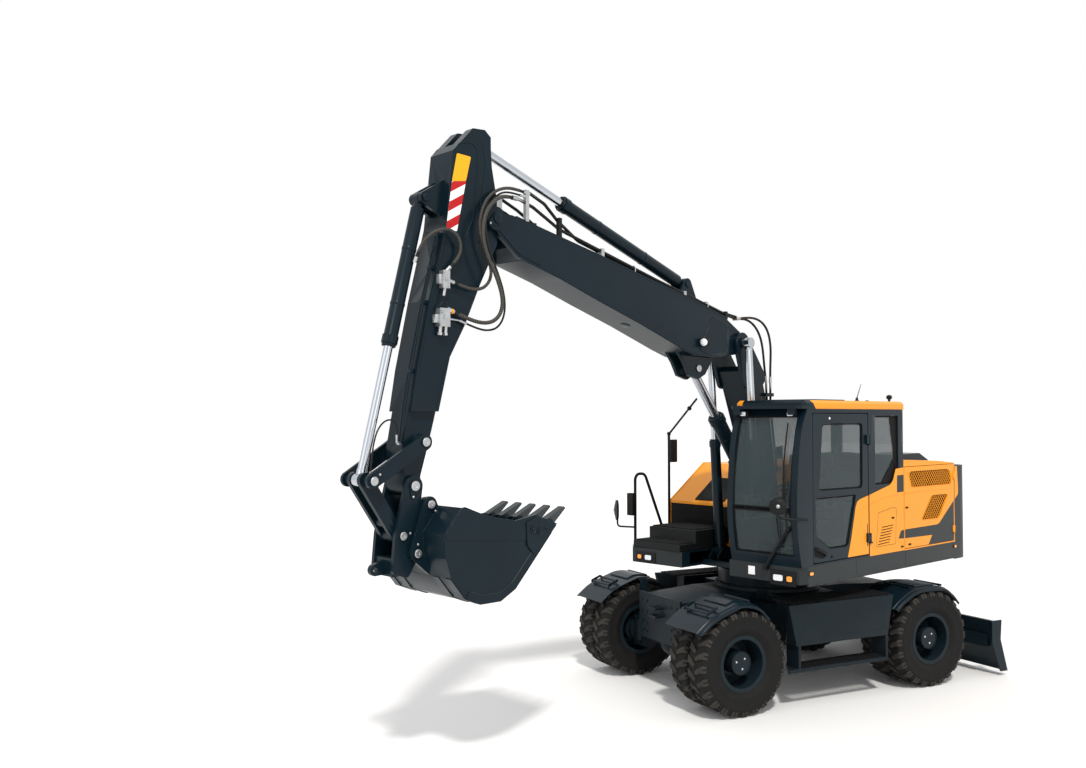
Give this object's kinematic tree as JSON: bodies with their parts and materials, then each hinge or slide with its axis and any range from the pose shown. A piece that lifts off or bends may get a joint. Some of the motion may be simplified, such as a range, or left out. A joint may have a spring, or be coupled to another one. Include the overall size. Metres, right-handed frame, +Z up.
{
  "type": "wheeled excavator",
  "caption": "Wheeled excavator with twin tyres, cab, two-piece boom, dipper arm, digging bucket on a quick coupler and a rear dozer blade.",
  "frame": {"origin": "on the ground under the centre of the slewing bearing", "axes": "+X forward along the boom, +Y to the machine's left, +Z up; the undercarriage stands turned 15.5 degrees to the right"},
  "size_m": [8.3195, 3.5716, 5.5088],
  "materials": {
    "dark_paint": "semi-gloss dark blue-grey enamel",
    "yellow_paint": "gloss warm yellow enamel",
    "rim_paint": "satin dark grey",
    "rubber": "matt black rubber",
    "chrome": "polished",
    "black_steel": "matt black",
    "seat_fabric": "woven black",
    "grey_paint": "semi-gloss slate grey enamel",
    "glass": "lightly tinted safety glass",
    "lamp_lens": "clear ribbed lens",
    "amber_lens": "clear amber lens",
    "tail_lens": "clear red lens",
    "hose_rubber": "black rubber in a brown-grey spiral guard",
    "galvanised": "zinc-plated steel",
    "tooth_steel": "painted cast steel"
  },
  "bodies": {
    "chassis": {"chassis": "dark_paint", "slew_ring": "dark_paint", "front_axle": "dark_paint", "rear_axle": "dark_paint", "drive_line": "black_steel", "mudguards_rear": "dark_paint", "steps_left": "dark_paint", "steps_right": "dark_paint"},
    "upper": {"upper_frame": "dark_paint", "counterweight": "dark_paint", "engine": "black_steel", "left_housing": "yellow_paint", "right_housing": "yellow_paint", "platform": "black_steel", "cab_shell": "dark_paint", "cab_roof": "yellow_paint", "seat": "seat_fabric", "mirrors_and_rails": "dark_paint"},
    "hood": {"hood": "yellow_paint"},
    "cab_door": {"cab_door": "dark_paint"},
    "left_door": {"left_door": "yellow_paint"},
    "right_door": {"right_door": "yellow_paint"},
    "lower_boom": {"lower_boom": "dark_paint", "hose_knee_low": "hose_rubber", "hose_knee_high": "hose_rubber"},
    "upper_boom": {"upper_boom": "dark_paint"},
    "arm": {"arm": "dark_paint", "hose_arm_feed": "hose_rubber", "hose_arm_return": "hose_rubber", "hose_arm_drain": "hose_rubber", "hose_bucket_cylinder": "hose_rubber", "hose_coupler": "hose_rubber"},
    "rocker": {"rocker": "dark_paint"},
    "link": {"link": "dark_paint"},
    "bucket": {"coupler": "dark_paint", "bucket": "dark_paint", "bucket_teeth": "tooth_steel"},
    "dozer_blade": {"dozer_blade": "dark_paint"},
    "knuckle_left": {"knuckle_left": "dark_paint", "mudguard_front_left": "dark_paint"},
    "knuckle_right": {"knuckle_right": "dark_paint", "mudguard_front_right": "dark_paint"},
    "lift_barrels": {"lift_barrels": "dark_paint"},
    "lift_rods": {"lift_rods": "chrome"},
    "adjust_barrel": {"adjust_barrel": "dark_paint"},
    "adjust_rod": {"adjust_rod": "chrome"},
    "arm_barrel": {"arm_barrel": "dark_paint"},
    "arm_rod": {"arm_rod": "chrome"},
    "bucket_barrel": {"bucket_barrel": "dark_paint"},
    "bucket_rod": {"bucket_rod": "chrome"},
    "blade_barrels": {"blade_barrels": "dark_paint"},
    "blade_rods": {"blade_rods": "chrome"},
    "wheel_front_left": {"tyres_front_left": "rubber", "rims_front_left": "rim_paint"},
    "wheel_front_right": {"tyres_front_right": "rubber", "rims_front_right": "rim_paint"},
    "wheel_rear_left": {"tyres_rear_left": "rubber", "rims_rear_left": "rim_paint"},
    "wheel_rear_right": {"tyres_rear_right": "rubber", "rims_rear_right": "rim_paint"}
  },
  "joints": [
    {"name": "slew", "type": "hinge", "parent": "chassis", "child": "upper", "pos_m": [0, 0, 1.25], "axis": [0, 0, 1], "continuous": true},
    {"name": "boom_lift", "type": "hinge", "parent": "upper", "child": "lower_boom", "pos_m": [0.02, 0, 1.98], "axis": [0, 1, 0], "range_deg": [-4, 70]},
    {"name": "lift_cylinder_tilt", "type": "hinge", "parent": "upper", "child": "lift_barrels", "pos_m": [0.535, 0, 1.45], "axis": [0, 1, 0], "range_deg": [-4.97, 64.78]},
    {"name": "lift_rod_slide", "type": "slide", "parent": "lift_barrels", "child": "lift_rods", "axis": [0.0697, 0, 0.9976], "range_m": [-0.84309, 0.06464]},
    {"name": "boom_adjust", "type": "hinge", "parent": "lower_boom", "child": "upper_boom", "pos_m": [0.7, 0, 3.81], "axis": [0, -1, 0], "range_deg": [-22, 28], "deforming": ["hose_knee_low", "hose_knee_high"]},
    {"name": "adjust_cylinder_tilt", "type": "hinge", "parent": "lower_boom", "child": "adjust_barrel", "pos_m": [0.272, 0, 2.14], "axis": [0, 1, 0], "range_deg": [-3.32, 2.63]},
    {"name": "adjust_rod_slide", "type": "slide", "parent": "adjust_barrel", "child": "adjust_rod", "axis": [0.6206, 0, 0.7841], "range_m": [-0.27397, 0.34544]},
    {"name": "arm_swing", "type": "hinge", "parent": "upper_boom", "child": "arm", "pos_m": [4.274, 0, 4.735], "axis": [0, -1, 0], "range_deg": [-28, 60], "deforming": ["hose_arm_feed", "hose_arm_return", "hose_arm_drain"]},
    {"name": "arm_cylinder_tilt", "type": "hinge", "parent": "upper_boom", "child": "arm_barrel", "pos_m": [1.52, 0, 4.41], "axis": [0, 1, 0], "range_deg": [-4.01, 1.93]},
    {"name": "arm_rod_slide", "type": "slide", "parent": "arm_barrel", "child": "arm_rod", "axis": [0.9434, 0, 0.3318], "range_m": [-0.68686, 0.33097]},
    {"name": "bucket_curl", "type": "hinge", "parent": "arm", "child": "bucket", "pos_m": [5.103, 0, 2.429], "axis": [0, 1, 0], "range_deg": [-125, 6]},
    {"name": "rocker_swing", "type": "hinge", "parent": "arm", "child": "rocker", "pos_m": [5.02, 0, 2.788], "axis": [0, 1, 0], "range_deg": [-89.94, 6.07], "deforming": ["hose_coupler"]},
    {"name": "link_swing", "type": "hinge", "parent": "rocker", "child": "link", "pos_m": [5.522, 0, 2.488], "axis": [0, 1, 0], "range_deg": [-3.11, 46.09]},
    {"name": "bucket_cylinder_tilt", "type": "hinge", "parent": "arm", "child": "bucket_barrel", "pos_m": [4.947, 0, 4.842], "axis": [0, 1, 0], "range_deg": [-4.02, 0.27], "deforming": ["hose_bucket_cylinder"]},
    {"name": "bucket_rod_slide", "type": "slide", "parent": "bucket_barrel", "child": "bucket_rod", "axis": [0.2373, 0, -0.9714], "range_m": [-0.8251, 0.05573]},
    {"name": "blade_lift", "type": "hinge", "parent": "chassis", "child": "dozer_blade", "pos_m": [-1.68635, 0.46767, 0.48], "axis": [0.2672, 0.9636, 0], "range_deg": [-8, 24]},
    {"name": "blade_cylinder_tilt", "type": "hinge", "parent": "chassis", "child": "blade_barrels", "pos_m": [-1.63817, 0.45431, 0.88], "axis": [0.2672, 0.9636, 0], "range_deg": [-4.91, 13.99]},
    {"name": "blade_rod_slide", "type": "slide", "parent": "blade_barrels", "child": "blade_rods", "axis": [-0.8143, 0.2258, -0.5346], "range_m": [-0.14174, 0.0497]},
    {"name": "steer_left", "type": "hinge", "parent": "chassis", "child": "knuckle_left", "pos_m": [1.43444, 0.30786, 0.527], "axis": [0, 0, 1], "range_deg": [-25, 25]},
    {"name": "steer_right", "type": "hinge", "parent": "chassis", "child": "knuckle_right", "pos_m": [1.071, -1.00268, 0.527], "axis": [0, 0, 1], "range_deg": [-25.5, 25.5]},
    {"name": "wheel_front_left", "type": "hinge", "parent": "knuckle_left", "child": "wheel_front_left", "pos_m": [1.50686, 0.569, 0.527], "axis": [0.2672, 0.9636, 0], "continuous": true},
    {"name": "wheel_front_right", "type": "hinge", "parent": "knuckle_right", "child": "wheel_front_right", "pos_m": [0.99858, -1.26382, 0.527], "axis": [0.2672, 0.9636, 0], "continuous": true},
    {"name": "wheel_rear_left", "type": "hinge", "parent": "chassis", "child": "wheel_rear_left", "pos_m": [-0.99858, 1.26382, 0.527], "axis": [0.2672, 0.9636, 0], "continuous": true},
    {"name": "wheel_rear_right", "type": "hinge", "parent": "chassis", "child": "wheel_rear_right", "pos_m": [-1.50686, -0.569, 0.527], "axis": [0.2672, 0.9636, 0], "continuous": true},
    {"name": "cab_door", "type": "hinge", "parent": "upper", "child": "cab_door", "pos_m": [-0.12, 1.256, 2.2], "axis": [0, 0, 1], "range_deg": [0, 165]},
    {"name": "hood", "type": "hinge", "parent": "upper", "child": "hood", "pos_m": [-0.93, 0.06, 2.488], "axis": [0, 1, 0], "range_deg": [0, 55]},
    {"name": "left_door", "type": "hinge", "parent": "upper", "child": "left_door", "pos_m": [-2.078, 1.249, 2], "axis": [0, 0, 1], "range_deg": [0, 95]},
    {"name": "right_door", "type": "hinge", "parent": "upper", "child": "right_door", "pos_m": [-2.078, -1.239, 2], "axis": [0, 0, -1], "range_deg": [0, 95]}
  ],
  "couplings": [
    {"joint": "lift_cylinder_tilt", "follows": "boom_lift", "ratio": 0.90627},
    {"joint": "lift_rod_slide", "follows": "boom_lift", "m_per_rad": -0.67579},
    {"joint": "adjust_cylinder_tilt", "follows": "boom_adjust", "ratio": -0.11446},
    {"joint": "adjust_rod_slide", "follows": "boom_adjust", "m_per_rad": 0.68249},
    {"joint": "arm_cylinder_tilt", "follows": "arm_swing", "ratio": -0.064864},
    {"joint": "arm_rod_slide", "follows": "arm_swing", "m_per_rad": -0.63721},
    {"joint": "rocker_swing", "follows": "bucket_curl", "ratio": 0.70473},
    {"joint": "link_swing", "follows": "bucket_curl", "ratio": -0.36112},
    {"joint": "bucket_cylinder_tilt", "follows": "bucket_curl", "ratio": 0.031523},
    {"joint": "bucket_rod_slide", "follows": "bucket_curl", "m_per_rad": 0.37043},
    {"joint": "blade_cylinder_tilt", "follows": "blade_lift", "ratio": 0.56788},
    {"joint": "blade_rod_slide", "follows": "blade_lift", "m_per_rad": -0.3296},
    {"joint": "steer_right", "follows": "steer_left", "ratio": 1}
  ]
}
